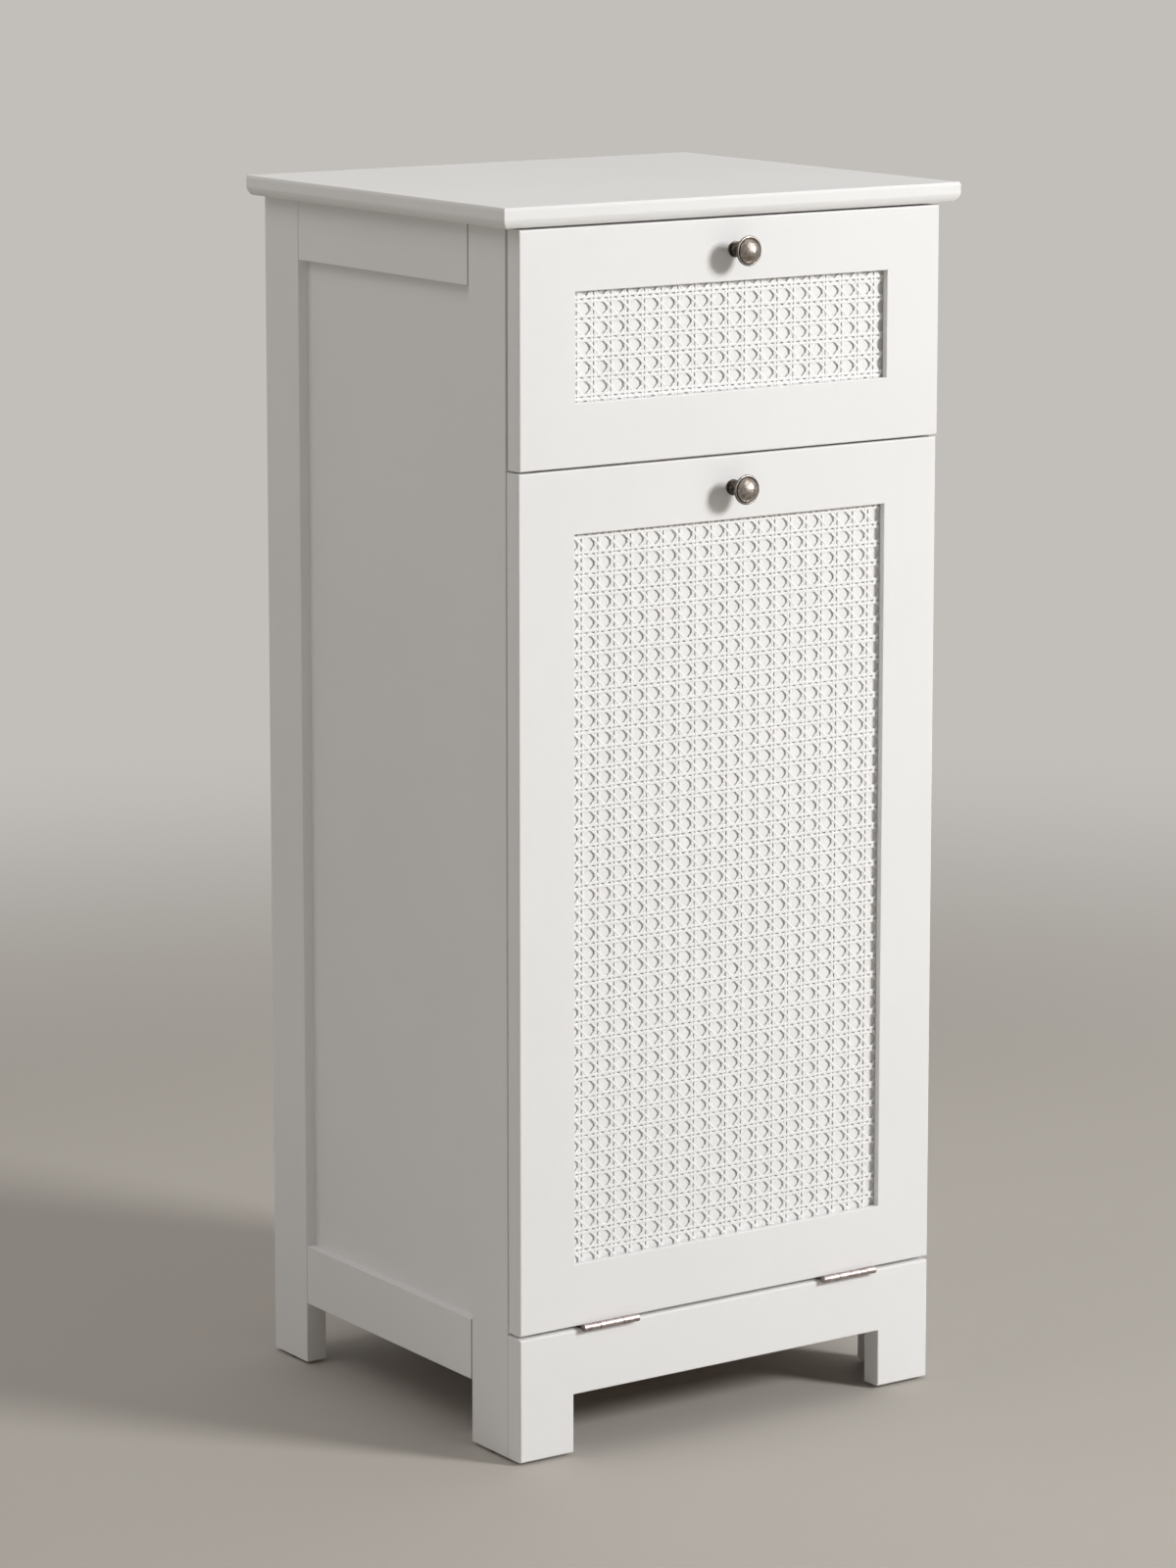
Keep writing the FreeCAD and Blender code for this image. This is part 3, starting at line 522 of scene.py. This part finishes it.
antique_nickel, place = new_finish("antique_nickel")
share = shares(place)
from_axis = share.vector("SUBTRACT", (0.5, 0, 0.5)).vector("MULTIPLY", (2, 0, 2))
radius = from_axis.vector("LENGTH", output="Value")
groove = 1 - (radius - groove_radius_share).maths("ABSOLUTE").ramp(*groove_half_width_shares)
neck = share.part("Y").ramp(*rim_back_wash_and_shade_shares)
cloud = place.noise(nickel_cloud_scale, detail=4)
face = cloud.ramp(*nickel_patina_limits).tint(nickel_face, nickel_patina)
plated = radius.ramp(*rim_shares).tint(face, nickel_bright)
worn = cloud.ramp(*nickel_worn_limits).between(*nickel_worn_range)
# The groove and neck wash is patina; the dark on the rim's edge and behind its front is painted shade as
# well.
washed_and_shaded = groove.maths("MAXIMUM", neck.maths("MAXIMUM", radius.ramp(*rim_edge_shade_shares)) * worn)
coat(antique_nickel, {
    "Base Color": (nickel_wash_and_shade_strength * washed_and_shaded).tint(plated, nickel_wash_and_shade),
    "Metallic": 1.0,
    "Roughness": cloud.between(*nickel_roughness_range),
    "Normal": place.noise(nickel_grain_scale, detail=3).relief(nickel_grain_depth),
})
dress(antique_nickel, "drawer_knob", "door_knob")

# Hinges: rolled steel butt hinges in aged nickel, screwed to the plinth's top edge and under the door.
# Fine lines from the rolling run along the barrel.
hinge_tone = (0.43, 0.375, 0.365, 1)
hinge_tarnish = (0.26, 0.21, 0.2, 1)
hinge_tarnish_scale = 240
hinge_tarnish_limits = (0.4, 0.7)
hinge_line_scales = (60, 2400, 2400)
hinge_line_depth = 0.00002
hinge_roughness_range = (0.38, 0.58)

hinge_nickel, place = new_finish("hinge_nickel")
rolled = place.stretched(hinge_line_scales).noise(detail=3)
tarnish = place.noise(hinge_tarnish_scale, detail=3)
coat(hinge_nickel, {
    "Base Color": tarnish.ramp(*hinge_tarnish_limits).tint(hinge_tone, hinge_tarnish),
    "Metallic": 1.0,
    "Roughness": rolled.between(*hinge_roughness_range),
    "Normal": rolled.relief(hinge_line_depth),
})
for side in ("left", "right"):
    dress(hinge_nickel, side + "_hinge_base_leaf", side + "_hinge_door_leaf")
dress(hinge_nickel, "hinge_pins")

# Screws and strike plate: turned and pressed steel with a bright zinc plate, slightly blue and blotchy.
# The screws hold the rails, hinges, knobs and bag frame, and the strike plate meets the magnet of the catch.
zinc_tone = (0.62, 0.62, 0.63, 1)
zinc_blotch_tone = (0.5, 0.5, 0.54, 1)
zinc_blotch_scale = 700
zinc_blotch_limits = (0.4, 0.7)
zinc_blotch_depth = 0.00001
zinc_roughness_range = (0.28, 0.48)

zinc_steel, place = new_finish("zinc_steel")
blotch = place.noise(zinc_blotch_scale, detail=3)
coat(zinc_steel, {
    "Base Color": blotch.ramp(*zinc_blotch_limits).tint(zinc_tone, zinc_blotch_tone),
    "Metallic": 1.0,
    "Roughness": blotch.between(*zinc_roughness_range),
    "Normal": blotch.relief(zinc_blotch_depth),
})
dress(zinc_steel, "strike_plate", "drawer_knob_screw", "door_knob_screw", "drawer_front_screws")
dress(zinc_steel, "base_leaf_screws", "door_leaf_screws", "bag_frame_screws", "carcass_screws")

# Bag frame: planed pine bars with a clear lacquer, glued and screwed to the back of the door.
# Growth rings show as bands along each bar, with fine pores between them.
pine_light = (0.78, 0.61, 0.4, 1)
pine_dark = (0.6, 0.4, 0.22, 1)
pine_ring_along = 3
pine_ring_across = 110
pine_pore_along = 40
pine_pore_across = 1600
pine_pore_depth = 0.00006
pine_band_turn = 60
pine_band_share = 0.75
pine_tone_limits = (0.2, 0.95)
pine_roughness_range = (0.38, 0.58)


def pine(name, grain_axis):
    """Pine whose grain runs along one axis of the cabinet."""
    material, place = new_finish(name)
    ring_scales = [pine_ring_along if axis == grain_axis else pine_ring_across for axis in range(3)]
    pore_scales = [pine_pore_along if axis == grain_axis else pine_pore_across for axis in range(3)]
    rings = place.stretched(ring_scales).noise()
    bands = 0.5 + 0.5 * (pine_band_turn * rings).maths("SINE")
    pores = place.stretched(pore_scales).noise()
    grain = pine_band_share * bands + (1 - pine_band_share) * pores
    coat(material, {
        "Base Color": grain.ramp(*pine_tone_limits).tint(pine_light, pine_dark),
        "Roughness": pores.between(*pine_roughness_range),
        "Normal": pores.relief(pine_pore_depth),
    })
    return material


dress(pine("pine_crosswise", 0), "bag_batten", "bag_rear_bar")
dress(pine("pine_lengthwise", 1), "left_bag_arm", "right_bag_arm")

# Laundry bag: an unlined linen and cotton sack, cut a little larger than its frame, so that its walls fall
# in folds and its bottom sags. Its hem is turned in and stitched twice, and touch tape inside the bars
# holds it, so it lifts out for washing.
bag_wall_clearance = 0.0015
bag_corner_radius = 0.016
bag_cell = 0.008
bag_slack_share = 0.022
bag_cloth_thickness = 0.0011
bag_sag = 0.03
bag_settle_frames = 36
bag_wave_depth = 0.0022
bag_wave_turn = 0.9
bag_wave_drift = 1.3
bag_wave_drift_turn = 0.11
bag_wave_onset = 6
cloth_fall = {
    "quality": 6, "mass": 0.01, "tension_stiffness": 25, "compression_stiffness": 25, "shear_stiffness": 8,
    "bending_stiffness": 1.2, "air_damping": 4, "shrink_min": -bag_slack_share, "shrink_max": 0,
}
hem_height = 0.03
hem_thickness = 0.0016
hem_inset = 0.0012
hem_top_slope = 0.0006
stitch_pitch = 0.0062
stitch_length = 0.0042
stitch_radius = 0.00045
stitch_row_drops = (0.0035, 0.0255)
stitch_sides = 6
stitch_ring_shares = ((-0.5, 0.2), (-0.3, 1), (0.3, 1), (0.5, 0.2))
thread_pitch = 0.0016
thread_depth = 0.0004
slub_scales = ((900, 25, 1), (25, 900, 1))
weave_share = 0.45
slub_share = 0.3
bag_tone_limits = (0.25, 0.7)
bag_roughness = 0.92
bag_sheen = 0.25
bag_tone = (0.75, 0.71, 0.63, 1)
bag_thread_tone = (0.6, 0.555, 0.47, 1)
stitch_tone = (0.83, 0.81, 0.76, 1)
stitch_twist_scale = 4000
stitch_twist_depth = 0.0001
stitch_roughness = 0.8

bag_low, bag_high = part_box("laundry_bag")
bag_low.z += bag_sag
bag_height = bag_high.z - bag_low.z
bag_middle = (bag_low + bag_high) / 2
bag_half = (bag_high - bag_low) / 2 - Vector((bag_wall_clearance, bag_wall_clearance, 0))
bag_columns = round(2 * bag_half.x / bag_cell)
bag_rows = round(2 * bag_half.y / bag_cell)
bag_levels = round(bag_height / bag_cell)


def bag_outline():
    """The grid points round the edge of the bag's bottom, in order."""
    outline = [(column, 0) for column in range(bag_columns)]
    outline += [(bag_columns, row) for row in range(bag_rows)]
    outline += [(bag_columns - column, bag_rows) for column in range(bag_columns)]
    outline += [(0, bag_rows - row) for row in range(bag_rows)]
    return outline


def rounded(column, row, inset=0.0):
    """A grid point's place from the bag's middle, moved onto its rounded outline and inset from the edge."""
    x = (2 * column / bag_columns - 1) * bag_half.x
    y = (2 * row / bag_rows - 1) * bag_half.y
    core_x = bag_half.x - bag_corner_radius
    core_y = bag_half.y - bag_corner_radius
    dx = max(abs(x) - core_x, 0)
    dy = max(abs(y) - core_y, 0)
    reach = max(dx, dy) - inset
    if dx > 0 and dy > 0:
        length = math.hypot(dx, dy)
        dx = dx / length * reach
        dy = dy / length * reach
    else:
        dx = min(dx, reach)
        dy = min(dy, reach)
    return math.copysign(min(abs(x), core_x) + dx, x), math.copysign(min(abs(y), core_y) + dy, y)


def lay_threads(piece, face_spots):
    """Lays the cloth's threads along the grid that the piece is cut on."""
    threads = piece.data.uv_layers.new(name="threads")
    places = [value * bag_cell for spots in face_spots for spot in spots for value in spot]
    threads.data.foreach_set("uv", places)


edge = bag_outline()
around = len(edge)
points = []
faces = []
face_spots = []
for level in range(bag_levels + 1):
    drop = level / bag_levels
    drift = bag_wave_drift * math.sin(level * bag_wave_drift_turn)
    for number, spot in enumerate(edge):
        x, y = rounded(*spot)
        wave = bag_wave_depth * min(1, bag_wave_onset * drop) * math.sin(number * bag_wave_turn + drift)
        x = x * (1 + wave / bag_half.x)
        y = y * (1 + wave / bag_half.y)
        points.append((bag_middle.x + x, bag_middle.y + y, bag_high.z - drop * bag_height))
for level in range(bag_levels):
    top = level * around
    bottom = top + around
    for number in range(around):
        following = (number + 1) % around
        faces.append((top + number, bottom + number, bottom + following, top + following))
        face_spots.append([(number + a, level + b) for a, b in ((0, 0), (0, 1), (1, 1), (1, 0))])
bottom_numbers = {spot: bag_levels * around + number for number, spot in enumerate(edge)}
for column in range(1, bag_columns):
    for row in range(1, bag_rows):
        bottom_numbers[column, row] = len(points)
        x, y = rounded(column, row)
        points.append((bag_middle.x + x, bag_middle.y + y, bag_low.z))
for column in range(bag_columns):
    for row in range(bag_rows):
        spots = [(column, row), (column, row + 1), (column + 1, row + 1), (column + 1, row)]
        faces.append(tuple(bottom_numbers[spot] for spot in spots))
        face_spots.append(spots)
bag = new_piece("bag_shell", points, faces)
lay_threads(bag, face_spots)
smooth(bag)

pinned = bag.vertex_groups.new(name="pinned")
pinned.add(list(range(around * round(hem_height / bag_cell))), 1.0, "REPLACE")
taut = bag.vertex_groups.new(name="taut")
taut.add(list(range(bag_levels * around, len(points))), 1.0, "REPLACE")
fall = bag.modifiers.new("fall", "CLOTH")
fall.settings.vertex_group_mass = "pinned"
fall.settings.vertex_group_shrink = "taut"
for name, value in cloth_fall.items():
    setattr(fall.settings, name, value)
fall.point_cache.frame_end = bag_settle_frames
for step in range(1, bag_settle_frames + 1):
    bpy.context.scene.frame_set(step)
settled = bpy.data.meshes.new_from_object(bag.evaluated_get(bpy.context.evaluated_depsgraph_get()))
bag.modifiers.clear()
bag.data = settled
settled.name = "bag_shell"
bpy.context.scene.frame_set(1)
thickness = bag.modifiers.new("thickness", "SOLIDIFY")
thickness.thickness = bag_cloth_thickness
thickness.offset = -1

hem_inner = hem_inset + hem_thickness
hem_section = ((hem_inset, 0), (hem_inner, hem_top_slope), (hem_inner, hem_height), (hem_inset, hem_height))
hem_sides = len(hem_section)
hem_points = []
hem_faces = []
hem_spots = []
for spot in edge:
    for inset, drop in hem_section:
        x, y = rounded(*spot, inset)
        hem_points.append((bag_middle.x + x, bag_middle.y + y, bag_high.z - drop))
for number in range(around):
    here = hem_sides * number
    there = hem_sides * ((number + 1) % around)
    for side in range(hem_sides):
        after = (side + 1) % hem_sides
        hem_faces.append((here + side, here + after, there + after, there + side))
        hem_spots.append([(number, side), (number, side + 1), (number + 1, side + 1), (number + 1, side)])
hem = new_piece("bag_hem", hem_points, hem_faces)
lay_threads(hem, hem_spots)

stitch_points = []
stitch_faces = []
seam = [Vector((*rounded(*spot, hem_inner), 0)) for spot in edge]
lengths = [(seam[(number + 1) % around] - seam[number]).length for number in range(around)]
for drop in stitch_row_drops:
    for number in range(round(sum(lengths) / stitch_pitch)):
        left = number * stitch_pitch
        corner = 0
        while left > lengths[corner]:
            left -= lengths[corner]
            corner += 1
        along = (seam[(corner + 1) % around] - seam[corner]).normalized()
        inward = Vector((-along.y, along.x, 0))
        middle = bag_middle + seam[corner] + along * left
        middle.z = bag_high.z - drop
        start = len(stitch_points)
        for reach, swell in stitch_ring_shares:
            for side in range(stitch_sides):
                turn = 2 * math.pi * side / stitch_sides
                out = inward * math.cos(turn) + Vector((0, 0, 1)) * math.sin(turn)
                stitch_points.append(middle + along * reach * stitch_length + out * swell * stitch_radius)
        last = len(stitch_points) - stitch_sides
        for ring in range(start, last, stitch_sides):
            next_ring = ring + stitch_sides
            for side in range(stitch_sides):
                after = (side + 1) % stitch_sides
                stitch_faces.append((ring + side, ring + after, next_ring + after, next_ring + side))
        stitch_faces.append(tuple(range(start + stitch_sides - 1, start - 1, -1)))
        stitch_faces.append(tuple(range(last, last + stitch_sides)))
stitches = new_piece("bag_stitches", stitch_points, stitch_faces)

bag_cloth, place = new_finish("bag_cloth")
spot = place.node("ShaderNodeTexCoord", {}, {}, "UV")
warp, weft = ((spot.part(axis) * (2 * math.pi / thread_pitch)).maths("SINE") for axis in "XY")
slubs = [spot.stretched(scales).noise(detail=3) for scales in slub_scales]
weave = 0.5 + 0.5 * (warp * weft)
thread = weave_share * weave + slub_share * slubs[0] + slub_share * slubs[1]
coat(bag_cloth, {
    "Base Color": thread.ramp(*bag_tone_limits).tint(bag_thread_tone, bag_tone),
    "Roughness": bag_roughness,
    "Sheen Weight": bag_sheen,
    "Normal": thread.relief(thread_depth),
})
stitch_thread, place = new_finish("stitch_thread")
twist = place.noise(stitch_twist_scale)
coat(stitch_thread, {
    "Base Color": twist.tint(bag_tone, stitch_tone),
    "Roughness": stitch_roughness,
    "Normal": twist.relief(stitch_twist_depth),
})
for piece, finish in ((bag, bag_cloth), (hem, bag_cloth), (stitches, stitch_thread)):
    piece.data.materials.append(finish)
    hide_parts("laundry_bag")
    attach(piece, "door")

# Catch and bumpers: the catch is a moulded plastic case with a magnet inside, screwed under the divider rail.
# The bumpers are milky rubber buttons with an adhesive back, stuck on the front legs.
catch_tone = (0.82, 0.82, 0.8, 1)
catch_grain_scale = 1100
catch_grain_depth = 0.00002
catch_roughness_range = (0.4, 0.55)
bumper_tone = (0.78, 0.78, 0.76, 1)
bumper_cloud_scale = 500
bumper_sheen_scale = 900
bumper_roughness_range = (0.25, 0.45)

catch_plastic, place = new_finish("catch_plastic")
grain = place.noise(catch_grain_scale)
coat(catch_plastic, {
    "Base Color": grain.tint(catch_tone, nylon_worn_tone),
    "Roughness": grain.between(*catch_roughness_range),
    "Normal": grain.relief(catch_grain_depth),
})
dress(catch_plastic, "magnetic_catch")
bumper_rubber, place = new_finish("bumper_rubber")
coat(bumper_rubber, {
    "Base Color": place.noise(bumper_cloud_scale).tint(bumper_tone, nylon_tone),
    "Roughness": place.noise(bumper_sheen_scale).between(*bumper_roughness_range),
})
dress(bumper_rubber, "door_bumpers")

# Stage: a plain pale floor that runs into a pale backdrop, a soft key light from the front right, weaker wide
# ones from overhead and from the upper left, and a large card that only the knobs and hinges reflect.
# The camera stands at the photographed angle.
backdrop_tone = (0.54, 0.52, 0.495, 1)
floor_tone = (0.5, 0.47, 0.43, 1)
floor_roughness = 0.8
floor_half_size = 60
floor_fade_radii = (1.0, 2.8)
ambient_tone = (1.0, 0.97, 0.94, 1)
ambient_strength = 0.33
ambient_from_back = 0.5
aim_point = Vector((0, 0, 0.55))
key_direction = Vector((0.53, -0.8, 0.4))
key_distance = 4.6
key_size = 1.2
key_power = 174
key_tone = (1, 0.998, 0.995)
overhead_place = Vector((0.5, 0, 3.2))
overhead_size = 2.6
overhead_power = 7.5
overhead_tone = (1, 0.985, 0.97)
fill_place = Vector((-1.5, 0.35, 2.3))
fill_size = 1.4
fill_power = 6.9
fill_tone = (1, 0.965, 0.93)
card_direction = Vector((0.35, -0.72, 0.6))
card_distance = 2.3
card_size = 3.2
card_power = 55
card_tone = (1, 1, 1)
camera_place = Vector((-2.384, -3.46, 1.3245))
camera_yaw = math.radians(34.352)
camera_pitch = math.radians(9.158)
camera_lens = 120.95
camera_shift = -0.12


def backdrop_seen(wire):
    """1 for rays that show the backdrop, directly or in a reflection, and 0 for rays that light things."""
    kinds = ("Is Camera Ray", "Is Glossy Ray", "Is Transmission Ray")
    camera_ray, glossy, through = (wire.node("ShaderNodeLightPath", {}, {}, kind) for kind in kinds)
    return (camera_ray + glossy + through).maths("MINIMUM", 1)


def soft_light(name, place, size, power, colour):
    """A round lamp that faces the middle of the cabinet."""
    lamp = bpy.data.lights.new(name, "AREA")
    lamp.shape = "DISK"
    lamp.size = size
    lamp.energy = power
    lamp.color = colour
    holder = bpy.data.objects.new(name, lamp)
    holder.location = place
    holder.rotation_euler = (aim_point - place).to_track_quat("-Z", "Y").to_euler()
    bpy.context.scene.collection.objects.link(holder)
    return holder


corners = [(x * floor_half_size, y * floor_half_size, 0) for x, y in ((-1, -1), (1, -1), (1, 1), (-1, 1))]
floor = new_piece("floor", corners, [(0, 1, 2, 3)])
floor_paint, place = new_finish("floor_paint")
coat(floor_paint, {"Base Color": floor_tone, "Roughness": floor_roughness})
tree = floor_paint.node_tree
painted = Wire(tree, tree.nodes["Principled BSDF"].outputs[0])
glow = place.node("ShaderNodeEmission", {}, {"Color": backdrop_tone})
faded = backdrop_seen(place) * place.vector("LENGTH", output="Value").ramp(*floor_fade_radii)
blend = place.node("ShaderNodeMixShader", {}, {0: faded, 1: painted, 2: glow})
set_inputs(tree, tree.nodes["Material Output"], {"Surface": blend})
floor.data.materials.append(floor_paint)

world = bpy.data.worlds.new("studio")
world.use_nodes = True
bpy.context.scene.world = world
direction = Wire(world.node_tree).node("ShaderNodeTexCoord", {}, {}, "Generated")
seen = backdrop_seen(direction)
from_around = ambient_strength * (1 + ambient_from_back * direction.part("Y"))
set_inputs(world.node_tree, world.node_tree.nodes["Background"], {
    "Color": seen.tint(ambient_tone, backdrop_tone),
    "Strength": from_around + seen * (1 - from_around),
})

soft_light("key_light", aim_point + key_direction * key_distance, key_size, key_power, key_tone)
soft_light("overhead_light", overhead_place, overhead_size, overhead_power, overhead_tone)
soft_light("fill_light", fill_place, fill_size, fill_power, fill_tone)
card = soft_light("sheen_card", aim_point + card_direction * card_distance, card_size, card_power, card_tone)
card.visible_diffuse = False
fittings = bpy.data.collections.new("fittings")
for name in ("drawer_knob", "door_knob", "hinge_pins", "left_hinge_base_leaf", "left_hinge_door_leaf",
             "right_hinge_base_leaf", "right_hinge_door_leaf"):
    fittings.objects.link(nodes[name])
card.light_linking.receiver_collection = fittings

camera_data = bpy.data.cameras.new("camera")
camera_data.lens = camera_lens
camera_data.shift_y = camera_shift
camera = bpy.data.objects.new("camera", camera_data)
camera.location = camera_place
camera.rotation_euler = (math.pi / 2 - camera_pitch, 0, -camera_yaw)
bpy.context.scene.collection.objects.link(camera)
bpy.context.scene.camera = camera
bpy.context.scene.view_settings.view_transform = "Standard"
